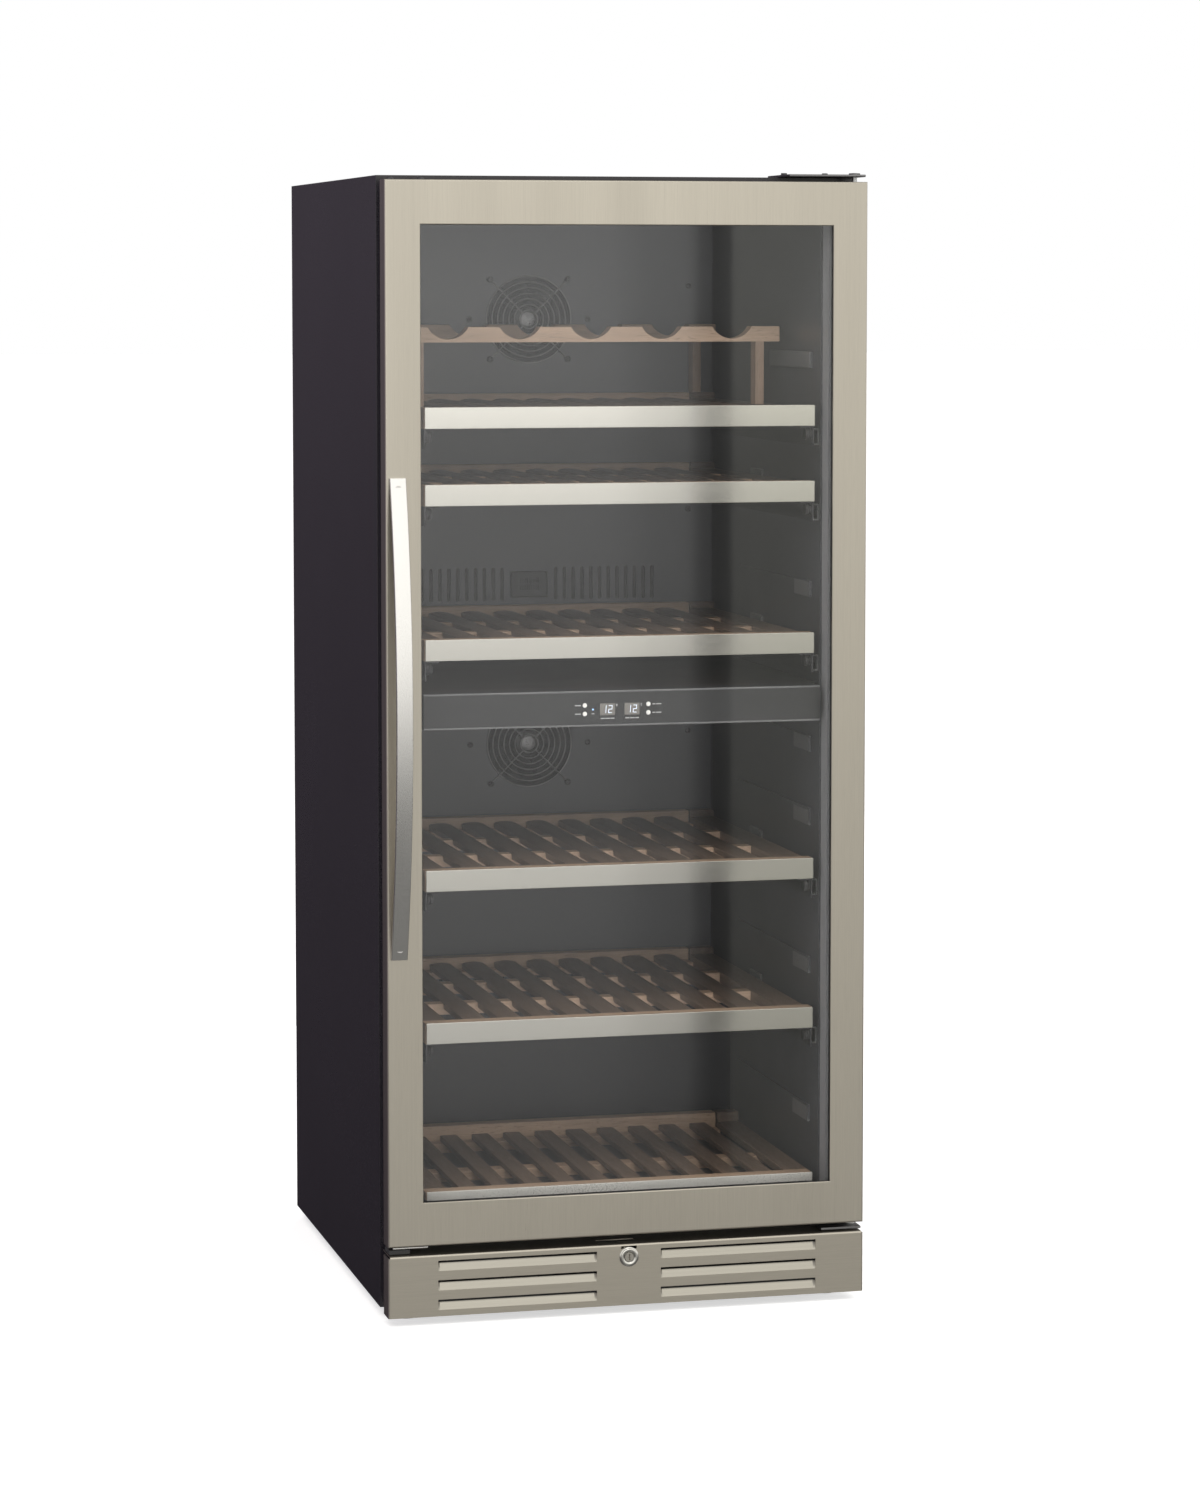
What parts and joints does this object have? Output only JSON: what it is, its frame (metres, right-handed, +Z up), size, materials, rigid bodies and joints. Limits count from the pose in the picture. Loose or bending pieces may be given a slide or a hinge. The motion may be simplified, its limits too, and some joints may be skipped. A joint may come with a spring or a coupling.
{
  "type": "wine cooler",
  "caption": "Tall two-zone wine cooler with a glazed steel-framed door, bowed handle, sliding wooden shelves, control panel and vented, lockable kick plate.",
  "frame": {"origin": "middle of the footprint, from the handle's front to the rear panel, at floor level", "axes": "+Z up, +X towards the hinge side, the door faces -Y"},
  "size_m": [0.595, 0.679, 1.384],
  "materials": {
    "shell_paint": "satin",
    "galvanised_sheet": "satin",
    "black_sheet": "matte",
    "foam": "matte",
    "liner_plastic": "satin",
    "cover_plastic": "satin",
    "coil_aluminium": "satin",
    "lamp_diffuser": "satin",
    "fan_plastic": "satin",
    "guard_wire": "satin",
    "divider_plastic": "satin",
    "fascia_plastic": "satin",
    "display_lens": "gloss",
    "board_green": "satin",
    "button_plastic": "gloss",
    "brushed_door": "satin",
    "shelf_strip_steel": "satin",
    "handle_steel": "satin",
    "hinge_steel": "satin",
    "zinc_steel": "satin",
    "lock_chrome": "satin",
    "foot_plastic": "matte",
    "compressor_paint": "satin",
    "mount_rubber": "matte",
    "copper_pipe": "satin",
    "tray_plastic": "satin",
    "inlet_plastic": "satin",
    "beech": "satin",
    "rack_beech": "satin",
    "pane_glass": "gloss",
    "spacer_black": "matte",
    "door_plastic": "satin",
    "seal_rubber": "matte",
    "bush_nylon": "satin"
  },
  "bodies": {
    "cabinet": {"cabinet_shell": "shell_paint", "rear_panel": "galvanised_sheet", "base_frame": "black_sheet", "insulation": "foam", "inner_liner": "liner_plastic", "evaporator_covers": "cover_plastic", "evaporators": "coil_aluminium", "sensor_covers": "cover_plastic", "lamp_strips": "lamp_diffuser", "fan_housings": "fan_plastic", "fan_guards": "guard_wire", "zone_divider": "divider_plastic", "control_fascia": "fascia_plastic", "display_windows": "display_lens", "control_board": "board_green", "kick_plate": "brushed_door", "lock_body": "lock_chrome", "top_hinge": "hinge_steel", "bottom_hinge": "hinge_steel", "hinge_pins": "zinc_steel", "cabinet_screws": "black_sheet", "levelling_feet": "foot_plastic", "compressor": "compressor_paint", "compressor_mounts": "mount_rubber", "condenser": "black_sheet", "drip_tray": "tray_plastic", "refrigerant_pipes": "copper_pipe", "power_inlet": "inlet_plastic", "runner_rails": "zinc_steel", "bottom_shelf": "beech", "bottom_shelf_strip": "shelf_strip_steel"},
    "upper_fan": {"upper_fan_rotor": "fan_plastic"},
    "lower_fan": {"lower_fan_rotor": "fan_plastic"},
    "condenser_fan": {"condenser_fan_rotor": "fan_plastic"},
    "power_key": {"power_button": "button_plastic"},
    "light_key": {"light_button": "button_plastic"},
    "upper_zone_key": {"upper_zone_button": "button_plastic"},
    "lower_zone_key": {"lower_zone_button": "button_plastic"},
    "lock": {"lock_barrel": "lock_chrome", "lock_cam": "zinc_steel"},
    "door": {"door_frame": "brushed_door", "door_liner": "door_plastic", "glass_outer": "pane_glass", "glass_inner": "pane_glass", "glass_spacer": "spacer_black", "door_gasket": "seal_rubber", "door_handle": "handle_steel", "handle_screws": "zinc_steel", "hinge_bushes": "bush_nylon"},
    "shelf_one": {"shelf_1": "beech", "shelf_1_metal": "shelf_strip_steel", "display_rack": "rack_beech"},
    "shelf_two": {"shelf_2": "beech", "shelf_2_metal": "shelf_strip_steel"},
    "shelf_three": {"shelf_3": "beech", "shelf_3_metal": "shelf_strip_steel"},
    "shelf_four": {"shelf_4": "beech", "shelf_4_metal": "shelf_strip_steel"},
    "shelf_five": {"shelf_5": "beech", "shelf_5_metal": "shelf_strip_steel"}
  },
  "joints": [
    {"name": "door_hinge", "type": "hinge", "parent": "cabinet", "child": "door", "pos_m": [0.288, -0.2725, 0.7], "axis": [0, 0, 1], "range_deg": [0, 120]},
    {"name": "upper_fan_spin", "type": "hinge", "parent": "cabinet", "child": "upper_fan", "pos_m": [0, 0.2395, 1.2028], "axis": [0, 1, 0], "continuous": true},
    {"name": "lower_fan_spin", "type": "hinge", "parent": "cabinet", "child": "lower_fan", "pos_m": [0, 0.2395, 0.641], "axis": [0, 1, 0], "continuous": true},
    {"name": "condenser_fan_spin", "type": "hinge", "parent": "cabinet", "child": "condenser_fan", "pos_m": [0.0475, 0.2675, 0.0895], "axis": [1, 0, 0], "continuous": true},
    {"name": "power_press", "type": "slide", "parent": "cabinet", "child": "power_key", "axis": [0, 1, 0], "range_m": [0, 0.0008], "stiffness_N_per_m": 1500},
    {"name": "light_press", "type": "slide", "parent": "cabinet", "child": "light_key", "axis": [0, 1, 0], "range_m": [0, 0.0008], "stiffness_N_per_m": 1500},
    {"name": "upper_zone_press", "type": "slide", "parent": "cabinet", "child": "upper_zone_key", "axis": [0, 1, 0], "range_m": [0, 0.0008], "stiffness_N_per_m": 1500},
    {"name": "lower_zone_press", "type": "slide", "parent": "cabinet", "child": "lower_zone_key", "axis": [0, 1, 0], "range_m": [0, 0.0008], "stiffness_N_per_m": 1500},
    {"name": "lock_turn", "type": "hinge", "parent": "cabinet", "child": "lock", "pos_m": [0, -0.29, 0.0709], "axis": [0, 1, 0], "range_deg": [0, 90]},
    {"name": "shelf_one_slide", "type": "slide", "parent": "cabinet", "child": "shelf_one", "axis": [0, -1, 0], "range_m": [0, 0.3]},
    {"name": "shelf_two_slide", "type": "slide", "parent": "cabinet", "child": "shelf_two", "axis": [0, -1, 0], "range_m": [0, 0.3]},
    {"name": "shelf_three_slide", "type": "slide", "parent": "cabinet", "child": "shelf_three", "axis": [0, -1, 0], "range_m": [0, 0.3]},
    {"name": "shelf_four_slide", "type": "slide", "parent": "cabinet", "child": "shelf_four", "axis": [0, -1, 0], "range_m": [0, 0.3]},
    {"name": "shelf_five_slide", "type": "slide", "parent": "cabinet", "child": "shelf_five", "axis": [0, -1, 0], "range_m": [0, 0.3]}
  ],
  "couplings": [
    {"joint": "shelf_one_slide", "follows": "door_hinge", "m_per_rad": 0.065},
    {"joint": "shelf_two_slide", "follows": "door_hinge", "m_per_rad": 0.065},
    {"joint": "shelf_three_slide", "follows": "door_hinge", "m_per_rad": 0.065},
    {"joint": "shelf_four_slide", "follows": "door_hinge", "m_per_rad": 0.065},
    {"joint": "shelf_five_slide", "follows": "door_hinge", "m_per_rad": 0.065}
  ]
}
